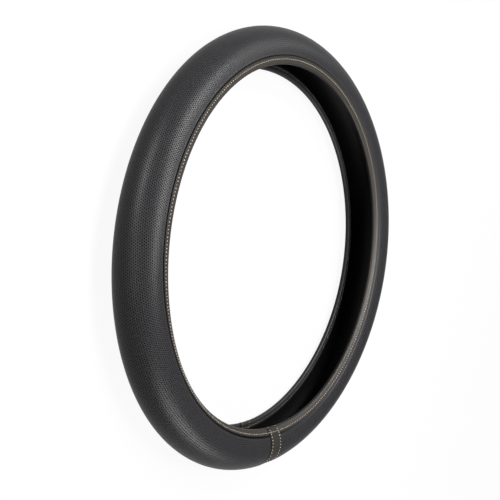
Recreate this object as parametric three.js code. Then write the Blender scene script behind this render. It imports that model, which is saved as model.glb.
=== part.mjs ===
// A steering wheel cover: a ring of C section, open towards its centre, which is stretched over a wheel's rim.
// A moulded rubber lining carries a padded panel of perforated faux leather. The panel's bare edges are folded
// round the lining's lips and topstitched, and its two ends meet at a narrow leather strip across the tube.
// Millimetres and degrees, +Z up. The cover lies on its back, so its front face and both ends of the joint look
// up. The ring's centre is at X = Y = 0, the surface under it is Z = 0, and the joint is at -Y.

import * as THREE from 'three';

// The ring and its tube
const coverDiameter = 390; // outside of the ring, over the padding
const tubeDiameter = 43.5; // across the padded tube
const restFlat = 5; // width of the flat that the soft underside takes where it lies
const mouthAngle = 122; // open part of the section, between the centres of the two rolled lips

// Leather and padding
const leatherThickness = 1.2; // one layer of faux leather
const padStep = 1.3; // rise of the padded panel above the bare leather of hem and strip
const padEdgeRun = 1.5; // length over which the panel's edge rolls down to the groove
const grooveDepth = 0.3; // how far the stitching pulls the leather in, below the hem
const grooveWidth = 0.8; // from the foot of the panel's edge to the level hem
const hemWidth = 3.6; // level hem outside, from the groove to the start of the roll
const hemRowInset = 1.5; // from the level hem's edge beside the groove to the middle of the stitch row
const flapWidth = 5; // leather folded in, from the roll to its cut edge

// Rubber lining
const rubberWall = 2.5; // wall of the channel that grips the rim
const rubberLip = 1.6; // thinner lip that the hem is folded round

// The joint of the panel's two ends
const stripWidth = 17.4; // strip between the two panel ends, measured at the outside of the ring
const stripDrop = 0.4; // how far the strip's face lies below the padded panel's
const firmShoulder = 1.6; // length over which the panel's clockwise end rolls down to the bare leather
const softShoulder = 4.5; // length over which the other end thins out to the strip's level
const jointRowInset = 1.9; // from the strip's edge to the stitch row beside it, measured there too

// Thread and clearances
const threadDiameter = 0.8; // doubled sewing thread as it lies on the leather
const threadClearance = 0.2; // between a thread and the leather under it
const clearance = 0.3; // between two pieces that lie on each other

// How finely the curves are divided
const ringSteps = 56; // round the ring
const tubeSteps = 9; // from the tube's outermost line to a lip, on each side
const rollSteps = 4; // round a rolled lip
const threadSides = 5;
const shoulderSteps = 3;

// Radii of the layers, measured from the tube's centre line
const padRadius = tubeDiameter / 2;
const hemRadius = padRadius - padStep;
const leatherInside = hemRadius - leatherThickness;
const rubberOutside = leatherInside - clearance;
const rubberInside = rubberOutside - rubberWall;
const lipInside = rubberOutside - rubberLip;
const flapOutside = lipInside - clearance;
const flapInside = flapOutside - leatherThickness;
const rollRadius = (hemRadius - flapInside) / 2;
const lipRadius = (rubberOutside + lipInside) / 2;
const rowRadius = hemRadius + threadClearance + threadDiameter / 2;
const jointRowRadius = padRadius - stripDrop + threadClearance + threadDiameter / 2;

// The centre line of the tube, and its height over the surface that the flat lies on
const ringRadius = coverDiameter / 2 - padRadius;
const ringHeight = Math.sqrt(padRadius ** 2 - (restFlat / 2) ** 2);

const degrees = (radians) => THREE.MathUtils.radToDeg(radians);
const radians = (angle) => THREE.MathUtils.degToRad(angle);
const arcAngle = (length, radius) => degrees(length / radius);

// Places round the section, as angles from the outward direction, the same on the front and on the back
const lipAngle = 180 - mouthAngle / 2;
const hemAngle = lipAngle - arcAngle(hemWidth, hemRadius);
const grooveAngle = hemAngle - arcAngle(grooveWidth, hemRadius);
const padAngle = grooveAngle - arcAngle(padEdgeRun, hemRadius);
const flapAngle = lipAngle - arcAngle(flapWidth, flapInside);
const ledgeAngle = flapAngle - arcAngle(clearance, flapOutside);
const rowAngle = hemAngle + arcAngle(hemRowInset, hemRadius);
const flatAngle = degrees(Math.asin(restFlat / 2 / padRadius));

// Places round the ring, as angles from the middle of the joint, counter-clockwise seen from the front
const halfStrip = arcAngle(stripWidth / 2, coverDiameter / 2);
const panelStart = halfStrip + arcAngle(clearance, coverDiameter / 2);
const panelEnd = 360 - panelStart;
const softAngle = arcAngle(softShoulder, coverDiameter / 2);
const firmAngle = arcAngle(firmShoulder, coverDiameter / 2);
const stripRise = 1 - stripDrop / padStep;

// A point of the section at a distance and an angle from the tube's centre line: x is the distance from the
// ring's axis and y the height.
function sectionPoint(radius, angle) {
  const turn = radians(angle);
  return new THREE.Vector2(ringRadius + radius * Math.cos(turn), ringHeight + radius * Math.sin(turn));
}

// Points along an arc round the tube's centre line, both ends included
function tubeArc(radius, from, to, steps) {
  return Array.from({ length: steps + 1 }, (_, i) => sectionPoint(radius, from + ((to - from) * i) / steps));
}

// Points round a lip: half a turn about the middle of the rubber lip, from its outer side to its inner side.
// The side is 1 at the front and -1 at the back.
function lipRoll(radius, steps, side) {
  const centre = sectionPoint(lipRadius, side * lipAngle);
  return Array.from({ length: steps + 1 }, (_, i) => {
    const turn = radians(side * (lipAngle + (180 * i) / steps));
    return new THREE.Vector2(centre.x + radius * Math.cos(turn), centre.y + radius * Math.sin(turn));
  });
}

// The outer leather face from the outermost line to a lip, at a rise of the padding from 0 to 1. At the back it
// leaves out the stretch that lies flat.
function leatherFace(rise, side) {
  const top = hemRadius + padStep * rise;
  const front = tubeArc(top, 0, padAngle, tubeSteps);
  const back = [
    ...tubeArc(top, 0, flatAngle - 90, tubeSteps - 3),
    ...tubeArc(top, -90 - flatAngle, -padAngle, 2),
  ];
  return [
    ...(side > 0 ? front : back),
    sectionPoint((top * 2 + hemRadius) / 3, side * (padAngle + (grooveAngle - padAngle) * 0.7)),
    sectionPoint(hemRadius - grooveDepth, side * grooveAngle),
    sectionPoint(hemRadius, side * hemAngle),
  ];
}

// The hem: the roll round a lip, the flap folded in, and back under both to the start of the roll
function leatherHem(side) {
  return [
    ...lipRoll(rollRadius, rollSteps, side),
    sectionPoint(flapInside, side * flapAngle),
    sectionPoint(flapOutside, side * flapAngle),
    ...lipRoll(rollRadius - leatherThickness, rollSteps / 2, side).reverse(),
  ];
}

// The leather's section as one loop, counter-clockwise with the ring's axis at the left
function leatherSection(rise) {
  const front = [...leatherFace(rise, 1), ...leatherHem(1)];
  const back = [...leatherFace(rise, -1), ...leatherHem(-1)];
  const inside = tubeArc(leatherInside, lipAngle, -lipAngle, 2 * tubeSteps).slice(1, -1);
  return [...front, ...inside, ...back.reverse().slice(0, -1)];
}

// The rubber lining's section: the channel's wall with a ledge on each side, where the flaps lie flush
function rubberSection() {
  const lip = (side) => [
    ...lipRoll(rubberLip / 2, rollSteps / 2, side),
    sectionPoint(lipInside, side * ledgeAngle),
    sectionPoint(rubberInside, side * (ledgeAngle - arcAngle(clearance, rubberInside))),
  ];
  const outside = tubeArc(rubberOutside, -lipAngle, lipAngle, 2 * tubeSteps).slice(1, -1);
  const inner = ledgeAngle - arcAngle(clearance, rubberInside);
  const inside = tubeArc(rubberInside, inner, -inner, 2 * tubeSteps - 4).slice(1, -1);
  return [...outside, ...lip(1), ...inside, ...lip(-1).reverse()];
}

// The ring angles where a section is set. The joint's edges and shoulders are among them, and every piece uses
// the same ones, so that the layers stay parallel.
const shoulder = Array.from({ length: shoulderSteps }, (_, i) => {
  const turn = (90 * (i + 1)) / shoulderSteps;
  return 1 - Math.cos(radians(turn));
});
const ringPlaces = [
  0,
  halfStrip,
  panelStart,
  ...shoulder.map((share) => panelStart + softAngle * share),
  ...Array.from({ length: ringSteps - 1 }, (_, i) => (360 * (i + 1)) / ringSteps),
  ...shoulder.map((share) => panelEnd - firmAngle * share),
  panelEnd,
  360 - halfStrip,
].sort((a, b) => a - b);

// How far the padding has risen at a place round the ring: a quarter round at each end of the panel, from the
// strip's level at the soft end and from the bare leather at the firm end
function padRise(place) {
  const rounded = (share) => Math.sqrt(1 - (1 - THREE.MathUtils.clamp(share, 0, 1)) ** 2);
  const soft = rounded((place - panelStart) / softAngle);
  return Math.min(stripRise + (1 - stripRise) * soft, rounded((panelEnd - place) / firmAngle));
}

// A solid with a section at each place round the ring: a closed loop, or one with flat ends
function ringSolid(sectionAt, places, closed) {
  const loops = places.map((place) => {
    const turn = radians(place - 90);
    return sectionAt(place).map((p) => [p.x * Math.cos(turn), p.x * Math.sin(turn), p.y]);
  });
  const count = loops[0].length;
  const index = [];
  const last = closed ? loops.length : loops.length - 1;
  for (let j = 0; j < last; j += 1) {
    const here = j * count;
    const next = ((j + 1) % loops.length) * count;
    for (let i = 0; i < count; i += 1) {
      const k = (i + 1) % count;
      index.push(here + i, next + i, next + k, here + i, next + k, here + k);
    }
  }
  if (!closed) {
    const caps = THREE.ShapeUtils.triangulateShape(sectionAt(places[0]), []);
    caps.forEach(([a, b, c]) => index.push(a, b, c));
    const end = (loops.length - 1) * count;
    const endCaps = THREE.ShapeUtils.triangulateShape(sectionAt(places[loops.length - 1]), []);
    endCaps.forEach(([a, b, c]) => index.push(end + a, end + c, end + b));
  }
  const geometry = new THREE.BufferGeometry();
  geometry.setAttribute('position', new THREE.Float32BufferAttribute(loops.flat(2), 3));
  geometry.setIndex(index);
  geometry.computeVertexNormals();
  return geometry;
}

// The round section of a thread that lies on the hem and runs round the ring
function rowSection(side) {
  const centre = sectionPoint(rowRadius, side * rowAngle);
  return Array.from({ length: threadSides }, (_, i) => {
    const turn = radians((360 * i) / threadSides);
    const reach = threadDiameter / 2;
    return new THREE.Vector2(centre.x + reach * Math.cos(turn), centre.y + reach * Math.sin(turn));
  });
}

// The path of a thread across the tube, on the joint's strip, from one of its padded edges to the other
class JointRow extends THREE.Curve {
  constructor(place) {
    super();
    this.turn = radians(place - 90);
  }
  getPoint(t, target = new THREE.Vector3()) {
    const point = sectionPoint(jointRowRadius, padAngle * (2 * t - 1));
    return target.set(point.x * Math.cos(this.turn), point.x * Math.sin(this.turn), point.y);
  }
}

function jointRow(place) {
  const corners = Array.from({ length: threadSides }, (_, i) => {
    const turn = radians((360 * i) / threadSides);
    return new THREE.Vector2(Math.cos(turn), Math.sin(turn)).multiplyScalar(threadDiameter / 2);
  });
  return new THREE.ExtrudeGeometry(new THREE.Shape(corners), {
    steps: 2 * tubeSteps,
    extrudePath: new JointRow(place),
  });
}

const leather = new THREE.MeshStandardMaterial({ color: '#303133', roughness: 0.55, metalness: 0 });
const stripLeather = new THREE.MeshStandardMaterial({ color: '#34332f', roughness: 0.6, metalness: 0 });
const rubber = new THREE.MeshStandardMaterial({ color: '#0c0c0d', roughness: 0.5, metalness: 0 });
const thread = new THREE.MeshStandardMaterial({ color: '#b3a48c', roughness: 0.75, metalness: 0 });

const cover = new THREE.Group();

function add(name, geometry, material) {
  const mesh = new THREE.Mesh(geometry, material);
  mesh.name = name;
  cover.add(mesh);
}

const panelPlaces = ringPlaces.filter((place) => place >= panelStart && place <= panelEnd);
const stripPlaces = [-halfStrip, 0, halfStrip];
const rowPlace = halfStrip - arcAngle(jointRowInset, coverDiameter / 2);

add('leather_panel', ringSolid((place) => leatherSection(padRise(place)), panelPlaces, false), leather);
add('joint_strip', ringSolid(() => leatherSection(stripRise), stripPlaces, false), stripLeather);
add('rubber_lining', ringSolid(rubberSection, ringPlaces, true), rubber);
add('front_topstitch', ringSolid(() => rowSection(1), ringPlaces, true), thread);
add('back_topstitch', ringSolid(() => rowSection(-1), ringPlaces, true), thread);
add('joint_stitch_right', jointRow(rowPlace), thread);
add('joint_stitch_left', jointRow(-rowPlace), thread);

export default cover;
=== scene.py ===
import math

import bpy
import numpy as np
from mathutils import Matrix, Vector


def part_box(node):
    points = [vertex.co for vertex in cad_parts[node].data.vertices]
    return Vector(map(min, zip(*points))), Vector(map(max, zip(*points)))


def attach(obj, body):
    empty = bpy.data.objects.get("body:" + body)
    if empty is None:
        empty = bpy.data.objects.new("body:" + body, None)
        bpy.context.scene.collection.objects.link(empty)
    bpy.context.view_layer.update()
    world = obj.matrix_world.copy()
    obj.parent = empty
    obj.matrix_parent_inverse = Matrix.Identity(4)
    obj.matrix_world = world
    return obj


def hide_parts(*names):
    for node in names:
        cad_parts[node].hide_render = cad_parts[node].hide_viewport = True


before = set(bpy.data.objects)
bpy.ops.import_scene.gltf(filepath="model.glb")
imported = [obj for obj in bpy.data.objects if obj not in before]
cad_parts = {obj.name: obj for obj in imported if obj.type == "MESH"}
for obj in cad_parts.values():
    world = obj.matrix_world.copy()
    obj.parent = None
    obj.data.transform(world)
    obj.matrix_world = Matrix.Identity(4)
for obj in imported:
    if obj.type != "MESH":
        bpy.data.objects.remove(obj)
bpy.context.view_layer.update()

# The cover as it lies: a soft ring of C section on its back, front face up. Off the wheel it keeps its
# shape only roughly. The centre line sags into a slight saddle, each lip closes or opens the mouth a
# little from place to place, and the front hem is wider on one side and flares out at one place.
MM = 0.001
COVER_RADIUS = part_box("leather_panel")[1][0]
TUBE_RADIUS = 21.75 * MM
RING_RADIUS = COVER_RADIUS - TUBE_RADIUS
SADDLE = 2.3 * MM
LIE_FLAT = 0.12 * MM
CENTRE_HEIGHT = TUBE_RADIUS + SADDLE - LIE_FLAT
LIP_ANGLE = math.radians(119.5)
FRONT_CLOSING = ((3.0, 0), (6.7, -10.4), (-1.6, 6.5), (3.5, -2.1))
BACK_CLOSING = ((2.1, 0), (-0.4, 1.2), (-7.8, 8.5))
WIDER_HEM = math.radians(6)
LIP_FLARE = 1.4 * MM
FLARE_PLACE = math.radians(126)
NEAR_LIP_POWER = 6


def polar(radius, angle):
    """Section points at a distance and an angle from the tube's centre line: the distance times the
    cosine outwards, and times the sine forwards. The angle runs from outwards towards the front."""
    return np.stack(np.broadcast_arrays(radius * np.cos(angle), radius * np.sin(angle)), -1)


def closing(waves, around):
    """How far a lip closes the mouth at a place round the ring, as a share of its angle: the sum of waves
    in degrees, each a cosine and a sine of that many times the place."""
    degrees = sum(
        cosine * np.cos(times * around) + sine * np.sin(times * around)
        for times, (cosine, sine) in enumerate(waves)
    )
    return np.radians(degrees) / LIP_ANGLE


def on_ring(section, around):
    """Carries section points round the ring. An angle grows by the share that its half of the section
    closes there. Nearness to the front lip is the share of the way to it, to a high power. The angle
    falls by half the hem's widening times one less the cosine of the place, times the sine of half a
    turn of the nearness. The radius grows by the flare times the squared cosine from its place, times
    the nearness. The points move out by the ring's radius, and up by the saddle times the cosine of
    twice the place, and are pressed flat where they would pass through the floor."""
    angle = np.arctan2(section[..., 1], section[..., 0])
    radius = np.hypot(section[..., 0], section[..., 1])
    wrap = np.where(angle > 0, closing(FRONT_CLOSING, around), closing(BACK_CLOSING, around))
    near_lip = np.clip(angle / LIP_ANGLE, 0, 1) ** NEAR_LIP_POWER
    wider = 0.5 * WIDER_HEM * (1 - np.cos(around)) * np.sin(math.pi * near_lip)
    flare = LIP_FLARE * np.maximum(np.cos(around - FLARE_PLACE), 0) ** 2 * near_lip
    radius = radius + flare
    turned = angle * (1 + wrap) - wider
    out = RING_RADIUS + radius * np.cos(turned)
    up = np.maximum(radius * np.sin(turned) + CENTRE_HEIGHT + SADDLE * np.cos(2 * around), 0)
    return np.stack([out * np.cos(around), out * np.sin(around), up], -1)


# The camera stands at the photograph's angle: 56 degrees off the ring's axis, on the left of the ring
# and a little towards its far side. It is turned about its own axis so that the joint is at the bottom.
VIEW_AZIMUTH = math.radians(-98.014)
VIEW_ELEVATION = math.radians(34.879)
VIEW_DISTANCE = 966.46 * MM
VIEW_TARGET = Vector((-26.93 * MM, 2.13 * MM, CENTRE_HEIGHT))
FOCAL_PIXELS = 1117.9
PICTURE_PIXELS = 500
SENSOR_WIDTH = 36
NEAREST_SEEN = 0.05
FARTHEST_SEEN = 60
RIGHT_IN_PICTURE = Vector((0.57903, 0.04147, 0.81425))

toward_camera = Vector((
    math.sin(VIEW_AZIMUTH) * math.cos(VIEW_ELEVATION),
    -math.cos(VIEW_AZIMUTH) * math.cos(VIEW_ELEVATION),
    math.sin(VIEW_ELEVATION),
))
up_in_picture = toward_camera.cross(RIGHT_IN_PICTURE).normalized()
across_picture = up_in_picture.cross(toward_camera)
camera_data = bpy.data.cameras.new("photograph_camera")
camera_data.sensor_width = SENSOR_WIDTH
camera_data.lens = FOCAL_PIXELS * SENSOR_WIDTH / PICTURE_PIXELS
camera_data.clip_start = NEAREST_SEEN
camera_data.clip_end = FARTHEST_SEEN
camera = bpy.data.objects.new("photograph_camera", camera_data)
turned = Matrix((across_picture, up_in_picture, toward_camera)).transposed().to_4x4()
camera.matrix_world = Matrix.Translation(VIEW_TARGET + toward_camera * VIEW_DISTANCE) @ turned
bpy.context.scene.collection.objects.link(camera)
bpy.context.scene.camera = camera


# The lining: one moulding of black rubber, a smooth open channel that grips the wheel's rim. Its wall
# thins to a lip along each edge, and a shallow ledge there takes the folded leather.
LINING_OUTSIDE = 20.15 * MM
LINING_INSIDE = 17.65 * MM
LIP_INSIDE = 18.55 * MM
LIP_MIDDLE = (LINING_OUTSIDE + LIP_INSIDE) / 2
FLAP_INSIDE = 17.05 * MM
FLAP_OUTSIDE = 18.25 * MM
FLAP_WIDTH = 5 * MM
FLAP_ANGLE = LIP_ANGLE - FLAP_WIDTH / FLAP_INSIDE
LEDGE_GAP = 0.3 * MM
LEDGE_ANGLE = FLAP_ANGLE - LEDGE_GAP / FLAP_OUTSIDE
LINING_STEPS = 360
LINING_BACK_STEPS = 40
LINING_FLOOR_STEPS = 34
LINING_LIP_STEPS = 7
SHARP_CORNER = math.radians(55)


def lip_roll(radius, steps):
    """Half a circle about the middle of the front lip, from its outer side round to its inner side."""
    angle = LIP_ANGLE + np.linspace(0, math.pi, steps)
    return polar(LIP_MIDDLE, LIP_ANGLE) + polar(radius, angle)


def mirrored(section):
    """The same points on the back half of the section, in the opposite order."""
    return section[..., ::-1, :] * np.array([1, -1])


def new_piece(name, points, faces, uv=None):
    """A mesh object at the origin from points, faces and, where given, one UV pair for each point."""
    mesh = bpy.data.meshes.new(name)
    mesh.from_pydata(points.reshape(-1, 3), [], faces)
    if uv is not None:
        corner = np.empty(len(mesh.loops), np.int32)
        mesh.loops.foreach_get("vertex_index", corner)
        layer = mesh.uv_layers.new(name="UVMap")
        layer.uv.foreach_set("vector", uv.reshape(-1, 2)[corner].astype(np.float32).ravel())
    mesh.polygons.foreach_set("use_smooth", np.ones(len(mesh.polygons), bool))
    mesh.set_sharp_from_angle(angle=SHARP_CORNER)
    piece = bpy.data.objects.new(name, mesh)
    bpy.context.scene.collection.objects.link(piece)
    return piece


def swept_faces(stations, loop, closed):
    """Quads between neighbouring stations of a closed loop of points: a point, the one after it in the
    loop and their like at the following station. An open sweep gets its two end faces."""
    station = np.arange(stations if closed else stations - 1)[:, None] * loop
    following = (station + loop) % (stations * loop)
    place = np.arange(loop)[None, :]
    beside = (place + 1) % loop
    quads = np.stack([station + place, following + place, following + beside, station + beside], -1)
    faces = quads.reshape(-1, 4).tolist()
    if not closed:
        faces.append(list(range(loop)))
        faces.append(list(range(stations * loop - 1, (stations - 1) * loop - 1, -1)))
    return faces


def linear(colour):
    """A linear colour with alpha from an sRGB hex value: a low value over 12.92, and any other plus 0.055
    over 1.055, to the power 2.4."""
    value = np.array([int(colour[i:i + 2], 16) for i in (1, 3, 5)]) / 255
    low = value / 12.92
    high = ((value + 0.055) / 1.055) ** 2.4
    return (*np.where(value <= 0.04045, low, high).tolist(), 1.0)


def new_material(name, colour, roughness):
    """A material whose Principled shader has a colour and a roughness."""
    material = bpy.data.materials.new(name)
    material.use_nodes = True
    shader = material.node_tree.nodes["Principled BSDF"]
    shader.inputs["Base Color"].default_value = linear(colour)
    shader.inputs["Roughness"].default_value = roughness
    return material, shader


def add_node(material, kind, settings={}, links={}):
    """Adds a node of a kind to a material, with settings on it and links from other nodes' outputs or
    values into its inputs, and returns it."""
    node = material.node_tree.nodes.new(kind)
    for name, value in settings.items():
        setattr(node, name, value)
    for name, value in links.items():
        socket = node.inputs[name]
        if isinstance(value, bpy.types.NodeSocket):
            material.node_tree.links.new(value, socket)
        else:
            socket.default_value = value
    return node


lining_back = np.linspace(-LIP_ANGLE, LIP_ANGLE, LINING_BACK_STEPS)[1:-1]
lining_lip = np.concatenate([
    lip_roll((LINING_OUTSIDE - LIP_INSIDE) / 2, LINING_LIP_STEPS),
    polar(LIP_INSIDE, LEDGE_ANGLE)[None],
    polar(LINING_INSIDE, LEDGE_ANGLE - LEDGE_GAP / LINING_INSIDE)[None],
])
lining_floor = np.linspace(LEDGE_ANGLE, -LEDGE_ANGLE, LINING_FLOOR_STEPS)[1:-1]
lining_section = np.concatenate([
    polar(LINING_OUTSIDE, lining_back),
    lining_lip,
    polar(LINING_INSIDE, lining_floor),
    mirrored(lining_lip),
])
lining_place = np.arange(LINING_STEPS) * (2 * math.pi / LINING_STEPS)
lining = new_piece(
    "rubber_channel",
    on_ring(lining_section[None], lining_place[:, None]),
    swept_faces(LINING_STEPS, len(lining_section), closed=True),
)

# Moulded rubber, matt and deep black: it hardly shines, and the mould leaves it a little uneven.
RUBBER_BLACK = "#020202"
RUBBER_ROUGHNESS = 0.6
RUBBER_SHINE = 0.05
MARK_SIZE = 11.1 * MM
MARK_DETAIL = 4.0
MARK_STRENGTH = 0.25
MARK_DEPTH = 0.3 * MM

rubber, rubber_shader = new_material("moulded_rubber", RUBBER_BLACK, RUBBER_ROUGHNESS)
rubber_shader.inputs["Specular IOR Level"].default_value = RUBBER_SHINE
rubber_place = add_node(rubber, "ShaderNodeTexCoord").outputs["Object"]
rubber_marks = add_node(
    rubber,
    "ShaderNodeTexNoise",
    {},
    {"Vector": rubber_place, "Scale": 1 / MARK_SIZE, "Detail": MARK_DETAIL},
)
rubber_bump = add_node(
    rubber,
    "ShaderNodeBump",
    {},
    {"Height": rubber_marks.outputs["Fac"], "Strength": MARK_STRENGTH, "Distance": MARK_DEPTH},
)
rubber.node_tree.links.new(rubber_bump.outputs["Normal"], rubber_shader.inputs["Normal"])
lining.data.materials.append(rubber)
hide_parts("rubber_lining")
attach(lining, "root")


# The panel: a strip of black perforated faux leather on thin foam, wrapped round the tube. The stitching
# draws a groove in along each lip, and past it the bare leather is folded round the lip as a hem, nearly
# level with the padding. The two ends sink to the joint, one firmly and the other over a longer run.
LEATHER = 1.2 * MM
PAD_STEP = 0.1 * MM
HEM_RADIUS = TUBE_RADIUS - PAD_STEP
LEATHER_INSIDE = HEM_RADIUS - LEATHER
ROLL_RADIUS = (HEM_RADIUS - FLAP_INSIDE) / 2
HEM_WIDTH = 4.1 * MM
GROOVE_WIDTH = 0.8 * MM
GROOVE_DEPTH = 0.7 * MM
GROOVE_SPREAD = 0.55 * GROOVE_WIDTH
GROOVE_MEAN = 0.6
GROOVE_SWING = 0.4
PAD_EDGE_RUN = 1.2 * MM
HEM_ANGLE = LIP_ANGLE - HEM_WIDTH / HEM_RADIUS
GROOVE_ANGLE = HEM_ANGLE - GROOVE_WIDTH / HEM_RADIUS
STITCHES_ROUND = 376
STITCH_PULL = 0.12 * MM
JOINT_PLACE = -math.pi / 2
HALF_STRIP = 8.7 * MM / COVER_RADIUS
JOINT_GAP = 0.15 * MM / COVER_RADIUS
SOFT_SHOULDER = 4.5 * MM / COVER_RADIUS
FIRM_SHOULDER = 1.6 * MM / COVER_RADIUS
STRIP_DROP = 0.4 * MM
PAD_DROP = 1.2 * MM
MM_PAST_GROOVE = (4.4, 3, 1.6, 0.9, 0.5, 0.25, 0, -0.2, -0.45, -0.8, -1.3, -2.1)
FACE_STEPS = 36
SHOULDER_STEPS = 8
HEM_ROLL_STEPS = 11
FLAP_STEPS = 5
INNER_FLAP_STEPS = 3
INNER_ROLL_STEPS = 5
INNER_STEPS = 16
panel_start = JOINT_PLACE + HALF_STRIP + JOINT_GAP
panel_end = JOINT_PLACE + 2 * math.pi - HALF_STRIP - JOINT_GAP


def rounded(share):
    """A quarter round from 0 to 1 as the share of its run goes from 0 to 1, and level past both: the root
    of one less the square of what is left of the run."""
    return np.sqrt(1 - (1 - np.clip(share, 0, 1)) ** 2)


def pad_sink(place):
    """How far the padding lies under its full height at a place round the ring: the larger of a quarter
    round up from the strip's level at the panel's soft end, and a deeper one at its firm end."""
    soft = rounded((place - panel_start) / SOFT_SHOULDER)
    firm = rounded((panel_end - place) / FIRM_SHOULDER)
    return np.maximum(STRIP_DROP * (1 - soft), PAD_DROP * (1 - firm))


def outer_face(angle, place, sink):
    """Outer leather from lip to lip. The radius is the hem's, plus the padding's step less its sink there
    times a quarter round over the edge's run, less a groove. The groove is a bell: its depth times e to
    the minus square of the distance over its spread. That depth falls with the cosine of the place, so
    it is least on the +X side, and the thread adds a cosine that is deepest at each needle hole."""
    from_groove = (GROOVE_ANGLE - np.abs(angle)) * HEM_RADIUS
    edge = rounded(from_groove / PAD_EDGE_RUN)
    pull = STITCH_PULL * np.cos(place * STITCHES_ROUND)
    depth = GROOVE_DEPTH * (GROOVE_MEAN - GROOVE_SWING * np.cos(place))
    groove = (depth + pull) * np.exp(-(from_groove / GROOVE_SPREAD) ** 2)
    return polar(HEM_RADIUS + (PAD_STEP - sink) * edge - groove, angle)


def leather_loop(angle, place, sink):
    """The leather's closed section: outer face, front hem with its flap, inner face and back hem."""
    hem = np.concatenate([
        lip_roll(ROLL_RADIUS, HEM_ROLL_STEPS)[1:],
        polar(FLAP_INSIDE, np.linspace(LIP_ANGLE, FLAP_ANGLE, FLAP_STEPS)[1:]),
        polar(FLAP_OUTSIDE, np.linspace(FLAP_ANGLE, LIP_ANGLE, INNER_FLAP_STEPS)[:-1]),
        lip_roll(ROLL_RADIUS - LEATHER, INNER_ROLL_STEPS)[::-1],
    ])
    inner = polar(LEATHER_INSIDE, np.linspace(LIP_ANGLE, -LIP_ANGLE, INNER_STEPS)[1:-1])
    rest = np.concatenate([hem, inner, mirrored(hem)])
    face = outer_face(angle[None, :], place[:, None], sink[:, None])
    return np.concatenate([face, np.broadcast_to(rest, (len(place), *rest.shape))], 1)


edge_angle = GROOVE_ANGLE + np.array(MM_PAST_GROOVE) * MM / HEM_RADIUS
face_angle = np.concatenate([
    [-LIP_ANGLE],
    -edge_angle,
    np.linspace(-edge_angle[-1], edge_angle[-1], FACE_STEPS)[1:-1],
    edge_angle[::-1],
    [LIP_ANGLE],
])
even_place = np.arange(0, 2 * STITCHES_ROUND) * (math.pi / STITCHES_ROUND) + JOINT_PLACE
shoulder = 1 - np.cos(np.linspace(0, math.pi / 2, SHOULDER_STEPS))
middle_place = even_place[
    (even_place > panel_start + SOFT_SHOULDER) & (even_place < panel_end - FIRM_SHOULDER)
]
panel_place = np.concatenate([
    panel_start + SOFT_SHOULDER * shoulder,
    middle_place,
    (panel_end - FIRM_SHOULDER * shoulder)[::-1],
])
panel_section = leather_loop(face_angle, panel_place, pad_sink(panel_place))

# The panel's UV map is in metres: along the ring, and from the middle of the outside across to each lip
# and on over the fold.
groove_line = GROOVE_ANGLE * TUBE_RADIUS
lip_line = LIP_ANGLE * TUBE_RADIUS
seam_line = panel_end * RING_RADIUS
panel_uv = np.zeros((*panel_section.shape[:2], 2))
panel_uv[..., 0] = panel_place[:, None] * RING_RADIUS
panel_uv[..., 1] = np.arctan2(panel_section[..., 1], panel_section[..., 0]) * TUBE_RADIUS
folded = panel_section[:, len(face_angle):]
half = np.where(folded[..., 1:] > 0, 1, -1)
past_lip = np.linalg.norm(folded - polar(HEM_RADIUS, half[..., 0] * LIP_ANGLE), axis=-1)
panel_uv[:, len(face_angle):, 1] = half[..., 0] * (lip_line + past_lip)
panel = new_piece(
    "perforated_panel",
    on_ring(panel_section, panel_place[:, None]),
    swept_faces(len(panel_place), panel_section.shape[1], closed=False),
    panel_uv,
)

# Faux leather: polyurethane on cloth, with a fine matt grain. The holes are punched in staggered rows
# 1.8 mm apart that run along the tube, and each is a small pit with painted shade in it, near black and
# barely reflecting. They stop short of the hem, whose bare leather looks warmer. Painted shade also lies
# in the groove, at the joint and over the fold, near black where shade falls in these creases.
LEATHER_BLACK = "#141415"
# Painted shade: the near-black colour drawn in the pits and creases.
SHADE_BLACK = "#030303"
HEM_BROWN = "#1a1816"
LEATHER_ROUGHNESS = 0.4
LEATHER_SHINE = 0.07
# Painted shade also dims the reflection in the pits and creases by this tint.
SHADE_TINT = 0.1
HOLE_PITCH = 1.95 * MM
ROW_PITCH = 1.785 * MM
HOLE_RADIUS = 0.5 * MM
HOLE_SOFTNESS = 0.25
LATTICE_TURN = math.radians(4)
PUNCHED_TO = 3.2 * MM
PLAIN_FROM = 1.6 * MM
PIT_DEPTH = 0.3 * MM
PIT_STRENGTH = 0.8
GRAIN_SIZE = 0.5 * MM
GRAIN_DEPTH = 0.05 * MM
GRAIN_STRENGTH = 0.25
# Painted shade in the crevice at the panel's firm end, and over the hem's roll and flap past the lip:
# where each starts and where it is full.
SEAM_SHADE_START = 2.6 * MM
SEAM_SHADE_FULL = 1.56 * MM
FOLD_SHADE_START = 0.6 * MM
FOLD_SHADE_FULL = 2.6 * MM

# The groove's painted shade is full out to one distance and fades by another. Where the groove is
# shallow, by the cosine of the place round the ring, its painted shade is light too.
GROOVE_SHADE_FULL = 0.5 * MM
GROOVE_SHADE_END = 1.5 * MM
DEEP_COSINE = -0.2
SHALLOW_COSINE = 0.6
SHALLOW_SHADE = 0.1

# The sockets of a Mix node that mixes colours: its two inputs, and its output.
MIX_FIRST = 6
MIX_SECOND = 7
MIXED = 2

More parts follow.
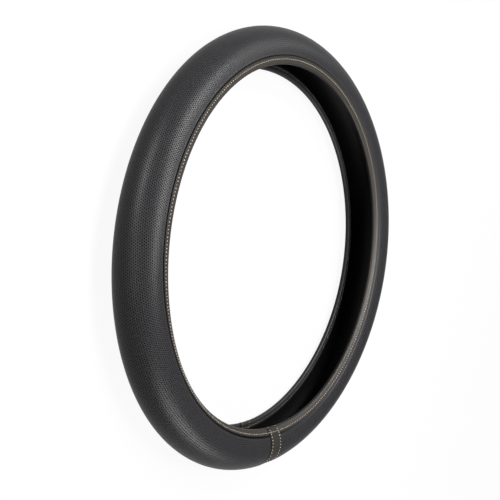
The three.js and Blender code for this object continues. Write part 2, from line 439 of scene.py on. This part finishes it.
leather, leather_shader = new_material("perforated_faux_leather", LEATHER_BLACK, LEATHER_ROUGHNESS)
leather_shader.inputs["Specular IOR Level"].default_value = LEATHER_SHINE
leather_uv = add_node(leather, "ShaderNodeUVMap", {"uv_map": "UVMap"}).outputs["UV"]
lattice = add_node(
    leather,
    "ShaderNodeVectorRotate",
    {"rotation_type": "Z_AXIS"},
    {"Vector": leather_uv, "Angle": -LATTICE_TURN},
).outputs["Vector"]
half_cell = (HOLE_PITCH / 2, ROW_PITCH, 1.0)
nearest = []
for offset in ((0.0, 0.0, 0.0), half_cell):
    shifted = add_node(
        leather, "ShaderNodeVectorMath", {"operation": "ADD"}, {0: lattice, 1: offset}
    )
    wrapped = add_node(
        leather,
        "ShaderNodeVectorMath",
        {"operation": "WRAP"},
        {0: shifted.outputs["Vector"], 1: half_cell, 2: tuple(-side for side in half_cell)},
    )
    flat = add_node(
        leather,
        "ShaderNodeVectorMath",
        {"operation": "MULTIPLY"},
        {0: wrapped.outputs["Vector"], 1: (1.0, 1.0, 0.0)},
    )
    nearest.append(
        add_node(leather, "ShaderNodeVectorMath", {"operation": "LENGTH"}, {0: flat.outputs["Vector"]})
    )
to_hole = add_node(
    leather,
    "ShaderNodeMath",
    {"operation": "MINIMUM"},
    {0: nearest[0].outputs["Value"], 1: nearest[1].outputs["Value"]},
)
hole = add_node(
    leather,
    "ShaderNodeMapRange",
    {"interpolation_type": "SMOOTHSTEP"},
    {
        "Value": to_hole.outputs["Value"],
        "From Min": (1 - HOLE_SOFTNESS) * HOLE_RADIUS,
        "From Max": (1 + HOLE_SOFTNESS) * HOLE_RADIUS,
        "To Min": 1.0,
        "To Max": 0.0,
    },
)
uv_parts = add_node(leather, "ShaderNodeSeparateXYZ", {}, {0: leather_uv})
from_middle = add_node(
    leather, "ShaderNodeMath", {"operation": "ABSOLUTE"}, {0: uv_parts.outputs["Y"]}
)
perforated = add_node(
    leather,
    "ShaderNodeMapRange",
    {},
    {
        "Value": from_middle.outputs["Value"],
        "From Min": groove_line - PUNCHED_TO,
        "From Max": groove_line - PLAIN_FROM,
        "To Min": 1.0,
        "To Max": 0.0,
    },
)
pit = add_node(
    leather,
    "ShaderNodeMath",
    {"operation": "MULTIPLY"},
    {0: hole.outputs["Result"], 1: perforated.outputs["Result"]},
)
leather_place = add_node(leather, "ShaderNodeTexCoord").outputs["Object"]
grain = add_node(
    leather,
    "ShaderNodeTexVoronoi",
    {"feature": "SMOOTH_F1"},
    {"Vector": leather_place, "Scale": 1 / GRAIN_SIZE},
)
grain_bump = add_node(
    leather,
    "ShaderNodeBump",
    {},
    {"Height": grain.outputs["Distance"], "Strength": GRAIN_STRENGTH, "Distance": GRAIN_DEPTH},
)
pit_bump = add_node(
    leather,
    "ShaderNodeBump",
    {"invert": True},
    {
        "Height": pit.outputs["Value"],
        "Strength": PIT_STRENGTH,
        "Distance": PIT_DEPTH,
        "Normal": grain_bump.outputs["Normal"],
    },
)
on_hem = add_node(
    leather,
    "ShaderNodeMath",
    {"operation": "GREATER_THAN"},
    {0: uv_parts.outputs["Y"], 1: groove_line},
)
past_groove = add_node(
    leather,
    "ShaderNodeMath",
    {"operation": "SUBTRACT"},
    {0: from_middle.outputs["Value"], 1: groove_line},
)
groove_distance = add_node(
    leather, "ShaderNodeMath", {"operation": "ABSOLUTE"}, {0: past_groove.outputs["Value"]}
)
# Painted shade along the groove: full close to it, fading further out.
groove_shade_band = add_node(
    leather,
    "ShaderNodeMapRange",
    {"interpolation_type": "SMOOTHSTEP"},
    {
        "Value": groove_distance.outputs["Value"],
        "From Min": GROOVE_SHADE_FULL,
        "From Max": GROOVE_SHADE_END,
        "To Min": 1.0,
        "To Max": 0.0,
    },
)
ring_place = add_node(
    leather, "ShaderNodeMath", {"operation": "DIVIDE"}, {0: uv_parts.outputs["X"], 1: RING_RADIUS}
)
ring_cosine = add_node(
    leather, "ShaderNodeMath", {"operation": "COSINE"}, {0: ring_place.outputs["Value"]}
)
groove_shade = add_node(
    leather,
    "ShaderNodeMapRange",
    {},
    {
        "Value": ring_cosine.outputs["Value"],
        "From Min": DEEP_COSINE,
        "From Max": SHALLOW_COSINE,
        "To Min": 1.0,
        "To Max": SHALLOW_SHADE,
    },
)
groove_shade_mask = add_node(
    leather,
    "ShaderNodeMath",
    {"operation": "MULTIPLY"},
    {0: groove_shade_band.outputs["Result"], 1: groove_shade.outputs["Result"]},
)
# Painted shade in the crevice where the panel's firm end meets the strip.
seam_shade_mask = add_node(
    leather,
    "ShaderNodeMapRange",
    {"interpolation_type": "SMOOTHSTEP"},
    {
        "Value": uv_parts.outputs["X"],
        "From Min": seam_line - SEAM_SHADE_START,
        "From Max": seam_line - SEAM_SHADE_FULL,
    },
)
# Painted shade over the hem's roll and flap past the lip, where the fold turns into shade.
fold_shade_mask = add_node(
    leather,
    "ShaderNodeMapRange",
    {"interpolation_type": "SMOOTHSTEP"},
    {
        "Value": uv_parts.outputs["Y"],
        "From Min": lip_line + FOLD_SHADE_START,
        "From Max": lip_line + FOLD_SHADE_FULL,
    },
)
# Painted shade of the groove and of the joint's crevice together.
crease_shade_mask = add_node(
    leather,
    "ShaderNodeMath",
    {"operation": "MAXIMUM"},
    {0: groove_shade_mask.outputs["Value"], 1: seam_shade_mask.outputs["Result"]},
)
# Painted shade of the creases and of the fold together.
crease_and_fold_shade_mask = add_node(
    leather,
    "ShaderNodeMath",
    {"operation": "MAXIMUM"},
    {0: crease_shade_mask.outputs["Value"], 1: fold_shade_mask.outputs["Result"]},
)
# All the painted shade, in the pits and the creases, as one mask for the colour and the reflection.
painted_shade_mask = add_node(
    leather,
    "ShaderNodeMath",
    {"operation": "MAXIMUM"},
    {0: pit.outputs["Value"], 1: crease_and_fold_shade_mask.outputs["Value"]},
)
plain_colour = add_node(
    leather,
    "ShaderNodeMix",
    {"data_type": "RGBA"},
    {
        "Factor": on_hem.outputs["Value"],
        MIX_FIRST: linear(LEATHER_BLACK),
        MIX_SECOND: linear(HEM_BROWN),
    },
)
leather_colour = add_node(
    leather,
    "ShaderNodeMix",
    {"data_type": "RGBA"},
    {
        "Factor": painted_shade_mask.outputs["Value"],
        MIX_FIRST: plain_colour.outputs[MIXED],
        MIX_SECOND: linear(SHADE_BLACK),
    },
)
leather.node_tree.links.new(leather_colour.outputs[MIXED], leather_shader.inputs["Base Color"])
# Painted shade dims the reflection too: the specular tint falls where the pits and creases are shaded.
shade_specular_tint = add_node(
    leather,
    "ShaderNodeMix",
    {"data_type": "RGBA"},
    {
        "Factor": painted_shade_mask.outputs["Value"],
        MIX_FIRST: (1.0, 1.0, 1.0, 1.0),
        MIX_SECOND: (SHADE_TINT, SHADE_TINT, SHADE_TINT, 1.0),
    },
)
leather.node_tree.links.new(shade_specular_tint.outputs[MIXED], leather_shader.inputs["Specular Tint"])
leather.node_tree.links.new(pit_bump.outputs["Normal"], leather_shader.inputs["Normal"])
panel.data.materials.append(leather)
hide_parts("leather_panel")
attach(panel, "root")


# The strip: the same leather without holes, let in between the panel's two ends a little below their
# padding, and folded round the lips like them. It is a little warmer than the panel, and its grain is
# drawn twice as coarse so that it shows.
STRIP_BROWN = "#131210"
STRIP_ROUGHNESS = 0.5
STRIP_STEPS = 9
STRIP_GRAIN_SIZE = 2 * GRAIN_SIZE
STRIP_GRAIN_DEPTH = 0.15 * MM
STRIP_GRAIN_STRENGTH = 0.5
strip_place = JOINT_PLACE + np.linspace(-HALF_STRIP, HALF_STRIP, STRIP_STEPS)
strip_section = leather_loop(face_angle, strip_place, np.full(len(strip_place), STRIP_DROP))
strip = new_piece(
    "joint_leather_strip",
    on_ring(strip_section, strip_place[:, None]),
    swept_faces(len(strip_place), strip_section.shape[1], closed=False),
)
plain_leather, plain_shader = new_material("plain_faux_leather", STRIP_BROWN, STRIP_ROUGHNESS)
plain_shader.inputs["Specular IOR Level"].default_value = LEATHER_SHINE
plain_place = add_node(plain_leather, "ShaderNodeTexCoord").outputs["Object"]
plain_grain = add_node(
    plain_leather,
    "ShaderNodeTexVoronoi",
    {"feature": "SMOOTH_F1"},
    {"Vector": plain_place, "Scale": 1 / STRIP_GRAIN_SIZE},
)
plain_bump = add_node(
    plain_leather,
    "ShaderNodeBump",
    {},
    {
        "Height": plain_grain.outputs["Distance"],
        "Strength": STRIP_GRAIN_STRENGTH,
        "Distance": STRIP_GRAIN_DEPTH,
    },
)
plain_leather.node_tree.links.new(plain_bump.outputs["Normal"], plain_shader.inputs["Normal"])
strip.data.materials.append(plain_leather)
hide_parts("joint_strip")
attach(strip, "root")


# The topstitching: doubled beige polyester thread, one row along each hem, with a stitch every 2.8 mm.
# Each row goes through both layers, so it shows outside beside the groove and again inside, on the
# folded flap.
STITCH_LENGTH = 1.3 * MM
STITCH_WIDTH = 0.75 * MM
STITCH_HEIGHT = 0.7 * MM
STITCH_ARCH = 0.3 * STITCH_HEIGHT
ARCH_LEVEL = 0.6
OVER_HEM = 0.05 * MM
OVER_FLAP = 0.1 * MM
HEM_ROW_INSET = 1.7 * MM
ROW_ANGLE = HEM_ANGLE + HEM_ROW_INSET / HEM_RADIUS
BEAD_RINGS = 5
BEAD_SIDES = 6


def stitches(middle, along, outward):
    """Beads of thread. Each is a chain of rings about its long axis. Their radius is the root of a sine
    along it, so that the bead is blunt, and they are raised by the arch times that sine less a level,
    so that its middle stands out from the leather and its ends dip in."""
    share = np.linspace(0, 1, BEAD_RINGS + 2)
    girth = np.sin(math.pi * share) ** 0.5
    turn = np.arange(BEAD_SIDES) * (2 * math.pi / BEAD_SIDES)
    lengthwise = (share - 0.5) * STITCH_LENGTH
    sideways = 0.5 * STITCH_WIDTH * girth[:, None] * np.cos(turn)
    arch = STITCH_ARCH * (np.sin(math.pi * share) - ARCH_LEVEL)
    upwards = 0.5 * STITCH_HEIGHT * girth[:, None] * np.sin(turn) + arch[:, None]
    side = np.cross(outward, along)
    points = (
        middle[:, None, None]
        + along[:, None, None] * lengthwise[None, :, None, None]
        + side[:, None, None] * sideways[None, ..., None]
        + outward[:, None, None] * upwards[None, ..., None]
    )
    count = len(middle)
    ends = points[:, [0, -1], 0]
    rings = points[:, 1:-1].reshape(count, -1, 3)
    place = np.arange(BEAD_SIDES)
    beside = (place + 1) % BEAD_SIDES
    first = 2 + np.arange(BEAD_RINGS - 1)[:, None] * BEAD_SIDES
    second = first + BEAD_SIDES
    quads = np.stack([first + place, first + beside, second + beside, second + place], -1)
    quads = quads.reshape(-1, 4)
    last = 2 + (BEAD_RINGS - 1) * BEAD_SIDES
    start_cap = np.stack([np.zeros_like(place), 2 + beside, 2 + place], -1)
    end_cap = np.stack([np.ones_like(place), last + place, last + beside], -1)
    per_bead = 2 + BEAD_RINGS * BEAD_SIDES
    step = (np.arange(count) * per_bead)[:, None, None]
    faces = (quads + step).reshape(-1, 4).tolist()
    faces += (start_cap + step).reshape(-1, 3).tolist()
    faces += (end_cap + step).reshape(-1, 3).tolist()
    return np.concatenate([ends, rings], 1).reshape(-1, 3), faces


def unit(vector):
    """Vectors scaled to length one."""
    return vector / np.linalg.norm(vector, axis=-1, keepdims=True)


def ring_row(radius, angle, facing):
    """Stitches in a row round the ring at one place of the section. Each points from half a pitch before
    it to half a pitch past it, and faces away from the tube's centre line, or towards it."""
    half_pitch = math.pi / STITCHES_ROUND
    place = (2 * np.arange(STITCHES_ROUND) + 1) * half_pitch + JOINT_PLACE
    line = polar(radius, angle)
    middle = on_ring(line, place)
    along = unit(on_ring(line, place + half_pitch) - on_ring(line, place - half_pitch))
    outward = unit(on_ring(polar(radius + MM, angle), place) - middle) * facing
    return stitches(middle, along, outward)


def joined(*parts):
    """Several groups of points and faces as one."""
    faces = []
    start = 0
    for points, group in parts:
        faces += [[corner + start for corner in face] for face in group]
        start += len(points)
    return np.concatenate([points for points, _ in parts]), faces


# Polyester thread, twisted and matt. The twist is too fine to show, so the beige is drawn darker by its
# shaded grooves, and a little uneven.
THREAD_DARK = "#403b33"
THREAD_PALE = "#6e675d"
THREAD_ROUGHNESS = 0.7
TONE_SIZE = 4.55 * MM
TONE_DETAIL = 1.0

thread, thread_shader = new_material("polyester_thread", THREAD_PALE, THREAD_ROUGHNESS)
thread_place = add_node(thread, "ShaderNodeTexCoord").outputs["Object"]
thread_tone = add_node(
    thread,
    "ShaderNodeTexNoise",
    {},
    {"Vector": thread_place, "Scale": 1 / TONE_SIZE, "Detail": TONE_DETAIL},
)
thread_colour = add_node(
    thread,
    "ShaderNodeMix",
    {"data_type": "RGBA"},
    {
        "Factor": thread_tone.outputs["Fac"],
        MIX_FIRST: linear(THREAD_DARK),
        MIX_SECOND: linear(THREAD_PALE),
    },
)
thread.node_tree.links.new(thread_colour.outputs[MIXED], thread_shader.inputs["Base Color"])
for name, side in (("front", 1), ("back", -1)):
    row = new_piece(
        f"{name}_hem_stitches",
        *joined(
            ring_row(HEM_RADIUS + OVER_HEM, side * ROW_ANGLE, 1),
            ring_row(FLAP_INSIDE - OVER_FLAP, side * ROW_ANGLE, -1),
        ),
    )
    row.data.materials.append(thread)
    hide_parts(f"{name}_topstitch")
    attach(row, "root")


# The joint's stitching: the same thread, one row along each edge of the strip, from one lip over the
# outside to the other lip.
ROW_FROM_EDGE = 1.9 * MM / COVER_RADIUS
STITCH_PITCH = 2.75 * MM
SEATED = 0.12 * MM
HALF_CHORD = 0.4 * MM
STRIP_PATH_STEPS = 90
ROLL_PATH_STEPS = 12


def strip_path(angle):
    """Section points of the strip's outer face, raised by the seat of a stitch."""
    face = outer_face(angle, JOINT_PLACE, STRIP_DROP)
    return face + SEATED * unit(face)


def evenly_spaced(points, pitch):
    """Places at a pitch along a line of section points, the first and last half a pitch from its ends.
    With each comes the line's direction, that of a short chord from before the place to past it."""
    length = np.concatenate([[0], np.cumsum(np.linalg.norm(np.diff(points, axis=0), axis=1))])
    count = int(length[-1] / pitch)
    place = (np.arange(count) + 0.5) * length[-1] / count
    before, middle, past = (
        np.stack([np.interp(place + ahead, length, points[:, side]) for side in (0, 1)], -1)
        for ahead in (-HALF_CHORD, 0, HALF_CHORD)
    )
    return middle, unit(past - before)


def joint_row(place):
    """A row of stitches over the strip at one place round the ring, from inside one lip to the other.
    Half its path goes over the outside, round the lip and along the flap, and the back half is the
    same mirrored. Each stitch faces a quarter turn from the path's direction."""
    face = strip_path(np.linspace(0, LIP_ANGLE, STRIP_PATH_STEPS))
    roll = lip_roll(ROLL_RADIUS + SEATED, ROLL_PATH_STEPS)[1:]
    flap = polar(FLAP_INSIDE - SEATED, np.linspace(LIP_ANGLE, FLAP_ANGLE, FLAP_STEPS)[1:-1])
    half = np.concatenate([face, roll, flap])
    middle, direction = evenly_spaced(np.concatenate([mirrored(half), half[1:]]), STITCH_PITCH)
    facing = np.stack([direction[:, 1], -direction[:, 0]], -1)
    on_place = on_ring(middle, place)
    along = unit(on_ring(middle + direction * MM, place) - on_place)
    outward = unit(on_ring(middle + facing * MM, place) - on_place)
    return stitches(on_place, along, outward)


for name, side in (("right", 1), ("left", -1)):
    place = JOINT_PLACE + side * (HALF_STRIP - ROW_FROM_EDGE)
    row = new_piece(f"{name}_joint_stitches", *joint_row(place))
    row.data.materials.append(thread)
    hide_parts(f"joint_stitch_{name}")
    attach(row, "root")


# The floor: a plain matt sheet that takes the cover's shadow. It sends light back as a middling grey
# would, and it is nearly white where it is seen directly, in a reflection or through glass.
FLOOR_SIZE = 30.0
FLOOR_GREY = "#767676"
FLOOR_ROUGHNESS = 0.9
SEEN_WHITE = 0.93
WHITE_STRENGTH = 1.0
floor_mesh = bpy.data.meshes.new("floor")
reach = FLOOR_SIZE / 2
floor_mesh.from_pydata(
    [(-reach, -reach, 0), (reach, -reach, 0), (reach, reach, 0), (-reach, reach, 0)], [], [(0, 1, 2, 3)]
)
floor = bpy.data.objects.new("floor", floor_mesh)
bpy.context.scene.collection.objects.link(floor)
white, white_shader = new_material("white_floor", FLOOR_GREY, FLOOR_ROUGHNESS)
white_shader.inputs["Specular IOR Level"].default_value = 0.0
ray = add_node(white, "ShaderNodeLightPath")
seen_or_reflected = add_node(
    white,
    "ShaderNodeMath",
    {"operation": "MAXIMUM"},
    {0: ray.outputs["Is Camera Ray"], 1: ray.outputs["Is Glossy Ray"]},
)
seen_in_any = add_node(
    white,
    "ShaderNodeMath",
    {"operation": "MAXIMUM"},
    {0: seen_or_reflected.outputs["Value"], 1: ray.outputs["Is Transmission Ray"]},
)
whiteness = add_node(
    white,
    "ShaderNodeMath",
    {"operation": "MULTIPLY"},
    {0: seen_in_any.outputs["Value"], 1: SEEN_WHITE},
)
glow = add_node(white, "ShaderNodeEmission", {}, {"Strength": WHITE_STRENGTH})
seen = add_node(
    white,
    "ShaderNodeMixShader",
    {},
    {0: whiteness.outputs["Value"], 1: white_shader.outputs["BSDF"], 2: glow.outputs["Emission"]},
)
floor_surface = white.node_tree.nodes["Material Output"].inputs["Surface"]
white.node_tree.links.new(seen.outputs["Shader"], floor_surface)
floor_mesh.materials.append(white)


# The studio: a plain grey surround and six soft boxes, overhead, behind the far side, on both sides and
# in front. Those overhead and behind give the two bands of light along the tube.
SURROUND = 0.15
world = bpy.data.worlds.new("studio")
bpy.context.scene.world = world
world.use_nodes = True
surround = world.node_tree.nodes["Background"]
surround.inputs["Color"].default_value = (1, 1, 1, 1)
surround.inputs["Strength"].default_value = SURROUND

# A soft box's name, its place, the direction of its long side, its length and width, and its power.
SOFT_BOXES = (
    ("top_box", (-0.05, 0.15, 1.05), (0.0, 1.0, 0.0), 0.6, 0.3, 40.0),
    ("far_box", (0.10, 0.66, 0.86), (0.9, 0.0, -0.3), 0.6, 0.2, 32.0),
    ("right_box", (0.65, 0.62, 0.62), (-0.7, 0.7, 0.0), 0.6, 0.5, 7.0),
    ("low_box", (-0.90, 0.58, 0.08), (0.54, 0.84, 0.0), 0.6, 0.12, 22.0),
    ("near_box", (0.0, -1.0, 0.55), (1.0, 0.0, 0.0), 0.8, 0.4, 24.0),
    ("camera_box", (-1.07, 0.0, 0.32), (0.0, 1.0, 0.0), 0.5, 0.4, 6.0),
)
for name, place, lengthwise, length, width, power in SOFT_BOXES:
    lamp = bpy.data.lights.new(name, "AREA")
    lamp.shape = "RECTANGLE"
    lamp.size = length
    lamp.size_y = width
    lamp.energy = power
    box = bpy.data.objects.new(name, lamp)
    away = Vector(place).normalized()
    widthwise = away.cross(Vector(lengthwise)).normalized()
    turned = Matrix((widthwise.cross(away), widthwise, away)).transposed().to_4x4()
    box.matrix_world = Matrix.Translation(place) @ turned
    bpy.context.scene.collection.objects.link(box)

bpy.context.scene.view_settings.view_transform = "Standard"
